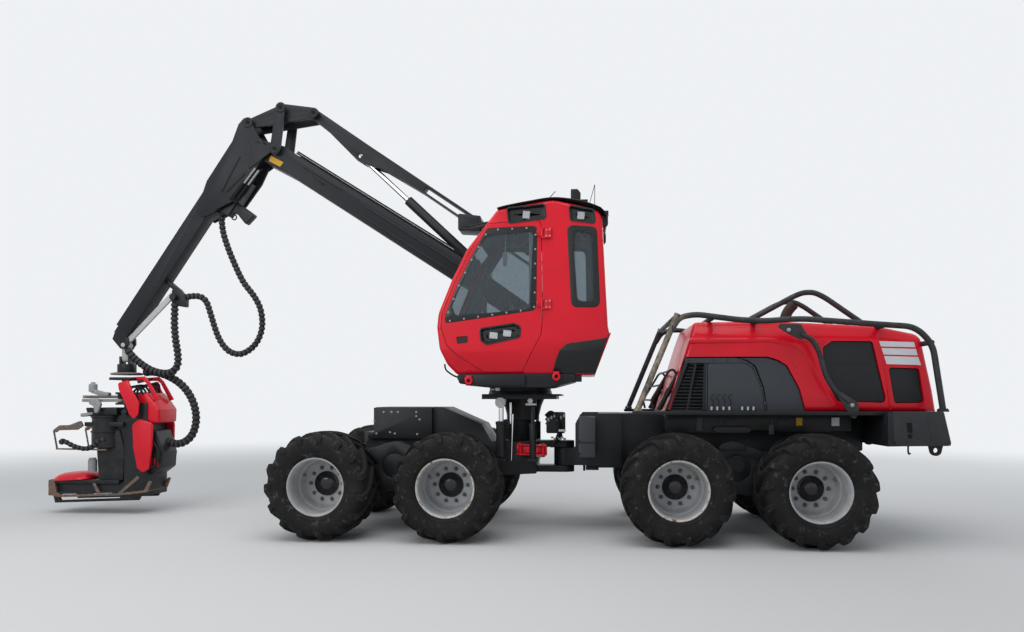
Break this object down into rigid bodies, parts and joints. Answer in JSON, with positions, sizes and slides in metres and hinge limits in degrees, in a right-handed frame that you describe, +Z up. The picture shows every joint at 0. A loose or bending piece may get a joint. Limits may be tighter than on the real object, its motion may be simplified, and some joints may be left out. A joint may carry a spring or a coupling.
{
  "type": "forestry harvester",
  "caption": "Eight-wheeled forestry harvester with articulated frame, slewing cab, parallel crane and felling head.",
  "frame": {"origin": "middle of the bounding box in plan, on the ground", "axes": "-X is forwards, -Y is the left side of the machine, +Z is up"},
  "size_m": [11.3336, 2.91, 5.6548],
  "materials": {
    "dark_paint": "satin charcoal paint",
    "cylinder_paint": "satin black paint",
    "red_paint": "glossy red paint",
    "rim_paint": "light grey paint with dirt",
    "tyre_rubber": "worn rubber",
    "grey_paint": "satin grey paint",
    "engine_iron": "cast",
    "grille_paint": "satin dark paint",
    "exhaust_steel": "heat-tinted",
    "tinted_glass": "tinted, reflective",
    "seat_fabric": "woven",
    "lamp": "clear lens",
    "chrome": "polished",
    "tip_steel": "worn paint and rust",
    "roller_steel": "worn steel",
    "knife_steel": "worn and rusty steel"
  },
  "bodies": {
    "front": {"front_frame": "dark_paint", "level_platform": "dark_paint", "level_cylinders": "cylinder_paint", "lock_link": "red_paint"},
    "yoke": {"middle_joint": "dark_paint"},
    "rear": {"rear_frame": "dark_paint", "side_boxes": "dark_paint", "rear_tanks": "grey_paint", "engine": "engine_iron", "hood": "red_paint", "hood_panels": "grey_paint", "hood_grilles": "grille_paint", "guard": "dark_paint", "exhaust": "exhaust_steel"},
    "turntable": {"turntable": "dark_paint", "cab_shell": "red_paint", "cab_glass": "tinted_glass", "cab_seat": "seat_fabric", "cab_lamps": "lamp"},
    "door": {"cab_door": "red_paint", "door_glass": "tinted_glass"},
    "lever": {"lever": "dark_paint"},
    "main_boom": {"main_boom": "dark_paint"},
    "strut": {"strut": "dark_paint"},
    "rocker": {"rocker": "dark_paint"},
    "link": {"link": "dark_paint"},
    "outer_boom": {"outer_boom": "dark_paint"},
    "extension": {"extension": "dark_paint"},
    "reach_barrel": {"reach_barrel": "cylinder_paint"},
    "reach_rod": {"reach_rod": "chrome"},
    "lift_barrel": {"lift_barrel": "cylinder_paint"},
    "lift_rod": {"lift_rod": "chrome"},
    "tip_link": {"tip_link": "tip_steel"},
    "rotator": {"rotator": "dark_paint"},
    "bracket": {"head_bracket": "red_paint"},
    "head": {"head_frame": "dark_paint", "head_covers": "red_paint", "head_rollers": "roller_steel"},
    "knife_l": {"knife_l": "knife_steel"},
    "knife_r": {"knife_r": "knife_steel"},
    "bogie_fl": {"bogie_fl": "dark_paint"},
    "bogie_fr": {"bogie_fr": "dark_paint"},
    "bogie_rl": {"bogie_rl": "dark_paint"},
    "bogie_rr": {"bogie_rr": "dark_paint"},
    "wheel_l1": {"rim_l1": "rim_paint", "tyre_l1": "tyre_rubber"},
    "wheel_l2": {"rim_l2": "rim_paint", "tyre_l2": "tyre_rubber"},
    "wheel_l3": {"rim_l3": "rim_paint", "tyre_l3": "tyre_rubber"},
    "wheel_l4": {"rim_l4": "rim_paint", "tyre_l4": "tyre_rubber"},
    "wheel_r1": {"rim_r1": "rim_paint", "tyre_r1": "tyre_rubber"},
    "wheel_r2": {"rim_r2": "rim_paint", "tyre_r2": "tyre_rubber"},
    "wheel_r3": {"rim_r3": "rim_paint", "tyre_r3": "tyre_rubber"},
    "wheel_r4": {"rim_r4": "rim_paint", "tyre_r4": "tyre_rubber"}
  },
  "joints": [
    {"name": "steering", "type": "hinge", "parent": "front", "child": "yoke", "pos_m": [1.5, 0, 0.885], "axis": [0, 0, 1], "range_deg": [-40, 40]},
    {"name": "frame_roll", "type": "hinge", "parent": "yoke", "child": "rear", "pos_m": [1.8, 0, 0.885], "axis": [1, 0, 0], "range_deg": [-15, 15]},
    {"name": "bogie_fl_swing", "type": "hinge", "parent": "front", "child": "bogie_fl", "pos_m": [-0.5075, -0.5825, 0.8], "axis": [0, 1, 0], "range_deg": [-14, 14]},
    {"name": "bogie_fr_swing", "type": "hinge", "parent": "front", "child": "bogie_fr", "pos_m": [-0.5075, 0.5825, 0.8], "axis": [0, 1, 0], "range_deg": [-14, 14]},
    {"name": "bogie_rl_swing", "type": "hinge", "parent": "rear", "child": "bogie_rl", "pos_m": [3.5075, -0.5825, 0.8], "axis": [0, 1, 0], "range_deg": [-14, 14]},
    {"name": "bogie_rr_swing", "type": "hinge", "parent": "rear", "child": "bogie_rr", "pos_m": [3.5075, 0.5825, 0.8], "axis": [0, 1, 0], "range_deg": [-14, 14]},
    {"name": "wheel_l1_spin", "type": "hinge", "parent": "bogie_fl", "child": "wheel_l1", "pos_m": [-1.244, -1.1, 0.616], "axis": [0, 1, 0], "continuous": true},
    {"name": "wheel_l2_spin", "type": "hinge", "parent": "bogie_fl", "child": "wheel_l2", "pos_m": [0.229, -1.1, 0.616], "axis": [0, 1, 0], "continuous": true},
    {"name": "wheel_l3_spin", "type": "hinge", "parent": "bogie_rl", "child": "wheel_l3", "pos_m": [2.771, -1.1, 0.616], "axis": [0, 1, 0], "continuous": true},
    {"name": "wheel_l4_spin", "type": "hinge", "parent": "bogie_rl", "child": "wheel_l4", "pos_m": [4.244, -1.1, 0.616], "axis": [0, 1, 0], "continuous": true},
    {"name": "wheel_r1_spin", "type": "hinge", "parent": "bogie_fr", "child": "wheel_r1", "pos_m": [-1.244, 1.1, 0.616], "axis": [0, 1, 0], "continuous": true},
    {"name": "wheel_r2_spin", "type": "hinge", "parent": "bogie_fr", "child": "wheel_r2", "pos_m": [0.229, 1.1, 0.616], "axis": [0, 1, 0], "continuous": true},
    {"name": "wheel_r3_spin", "type": "hinge", "parent": "bogie_rr", "child": "wheel_r3", "pos_m": [2.771, 1.1, 0.616], "axis": [0, 1, 0], "continuous": true},
    {"name": "wheel_r4_spin", "type": "hinge", "parent": "bogie_rr", "child": "wheel_r4", "pos_m": [4.244, 1.1, 0.616], "axis": [0, 1, 0], "continuous": true},
    {"name": "slew", "type": "hinge", "parent": "front", "child": "turntable", "pos_m": [0.945, 0, 1.7], "axis": [0, 0, 1], "continuous": true},
    {"name": "cab_door_hinge", "type": "hinge", "parent": "turntable", "child": "door", "pos_m": [1.28, -1.052, 2.5], "axis": [0, 0, 1], "range_deg": [0, 80]},
    {"name": "boom_lift", "type": "hinge", "parent": "turntable", "child": "lever", "pos_m": [1.024, 0.6, 2.718], "axis": [0, 1, 0], "range_deg": [-12, 30]},
    {"name": "reach", "type": "hinge", "parent": "lever", "child": "main_boom", "pos_m": [1.024, 0.6, 2.718], "axis": [0, -1, 0], "range_deg": [-30, 25]},
    {"name": "strut_turn", "type": "hinge", "parent": "lever", "child": "strut", "pos_m": [1.495, 0.6, 3.149], "axis": [0, -1, 0], "range_deg": [-30, 25]},
    {"name": "rocker_turn", "type": "hinge", "parent": "main_boom", "child": "rocker", "pos_m": [-2.43895, 0.6, 5.00656], "axis": [0, -1, 0], "range_deg": [-25, 31]},
    {"name": "link_turn", "type": "hinge", "parent": "rocker", "child": "link", "pos_m": [-2.35879, 0.6, 5.56753], "axis": [0, -1, 0], "range_deg": [-12, 11]},
    {"name": "outer_turn", "type": "hinge", "parent": "main_boom", "child": "outer_boom", "pos_m": [-2.70361, 0.6, 5.07449], "axis": [0, -1, 0], "range_deg": [-38, 45]},
    {"name": "reach_barrel_turn", "type": "hinge", "parent": "main_boom", "child": "reach_barrel", "pos_m": [0.29416, 0.6, 3.43493], "axis": [0, -1, 0], "range_deg": [-3, 3]},
    {"name": "reach_rod_slide", "type": "slide", "parent": "reach_barrel", "child": "reach_rod", "axis": [-0.7286, 0, 0.6849], "range_m": [-0.28, 0.33]},
    {"name": "lift_barrel_turn", "type": "hinge", "parent": "turntable", "child": "lift_barrel", "pos_m": [0.65, 0.6, 1.96], "axis": [0, -1, 0], "range_deg": [-4, 9]},
    {"name": "lift_rod_slide", "type": "slide", "parent": "lift_barrel", "child": "lift_rod", "axis": [0.1315, 0, 0.9913], "range_m": [-0.07, 0.17]},
    {"name": "extension_slide", "type": "slide", "parent": "outer_boom", "child": "extension", "axis": [-0.5707, 0, -0.8211], "range_m": [0, 2.1]},
    {"name": "tip_swing", "type": "hinge", "parent": "extension", "child": "tip_link", "pos_m": [-4.71765, 0.6, 2.36258], "axis": [0, -1, 0], "range_deg": [-40, 40]},
    {"name": "side_swing", "type": "hinge", "parent": "tip_link", "child": "rotator", "pos_m": [-4.71765, 0.6, 2.17258], "axis": [1, 0, 0], "range_deg": [-30, 30]},
    {"name": "rotator_spin", "type": "hinge", "parent": "rotator", "child": "bracket", "pos_m": [-4.71765, 0.6, 1.98258], "axis": [0, 0, 1], "continuous": true},
    {"name": "head_tilt", "type": "hinge", "parent": "bracket", "child": "head", "pos_m": [-4.52765, 0.6, 1.42], "axis": [0, -1, 0], "range_deg": [0, 100]},
    {"name": "knife_l_turn", "type": "hinge", "parent": "head", "child": "knife_l", "pos_m": [-4.66765, 0.365, 1.6], "axis": [0, 0, 1], "range_deg": [-5, 40]},
    {"name": "knife_r_turn", "type": "hinge", "parent": "head", "child": "knife_r", "pos_m": [-4.66765, 0.835, 1.6], "axis": [0, 0, 1], "range_deg": [-40, 5]}
  ],
  "couplings": [
    {"joint": "strut_turn", "follows": "reach", "ratio": 0.962},
    {"joint": "rocker_turn", "follows": "reach", "ratio": -0.995},
    {"joint": "outer_turn", "follows": "reach", "ratio": -1.476},
    {"joint": "link_turn", "follows": "reach", "ratio": 0.363},
    {"joint": "reach_barrel_turn", "follows": "reach", "ratio": -0.049},
    {"joint": "reach_rod_slide", "follows": "reach", "m_per_rad": -0.602},
    {"joint": "lift_barrel_turn", "follows": "boom_lift", "ratio": 0.273},
    {"joint": "lift_rod_slide", "follows": "boom_lift", "m_per_rad": 0.314}
  ]
}
